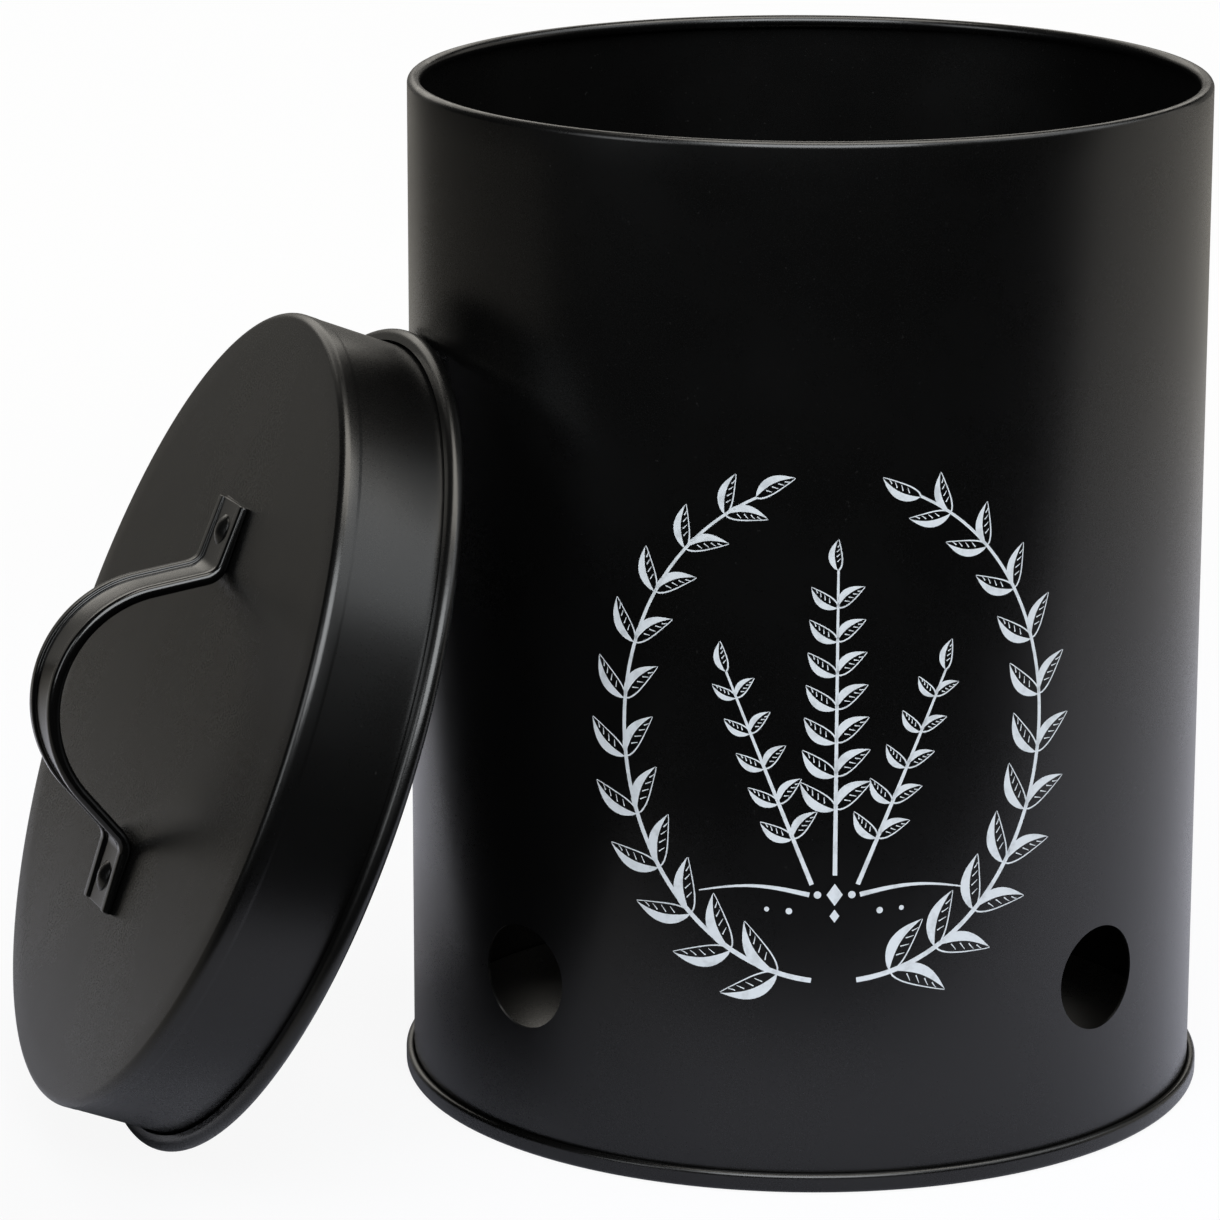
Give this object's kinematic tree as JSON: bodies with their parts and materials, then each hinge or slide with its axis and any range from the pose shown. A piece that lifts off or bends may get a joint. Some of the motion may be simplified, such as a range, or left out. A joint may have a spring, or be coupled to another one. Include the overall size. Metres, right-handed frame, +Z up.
{
  "type": "onion storage tin",
  "caption": "Tall round sheet-metal storage tin with air vents low in its wall and a deep cap lid with a riveted strap handle, lid off and leaning on the side.",
  "frame": {"origin": "centre of the tin's base, in the plane that its folded foot ring rests on", "axes": "+Z up along the tin's axis, -Y out of the printed front, -X to the side where the lid leans"},
  "size_m": [0.2519, 0.2079, 0.212],
  "materials": {
    "black_coat": "matt black powder coat"
  },
  "bodies": {
    "tin": {"tin_wall": "black_coat", "base_panel": "black_coat"},
    "lid": {"lid_cap": "black_coat", "handle_strap": "black_coat", "upper_rivet": "black_coat", "lower_rivet": "black_coat"}
  },
  "joints": [
    {"name": "lid_lift", "type": "slide", "parent": "tin", "child": "lid", "axis": [0, 0, 1], "range_m": [0, 0.25]}
  ]
}
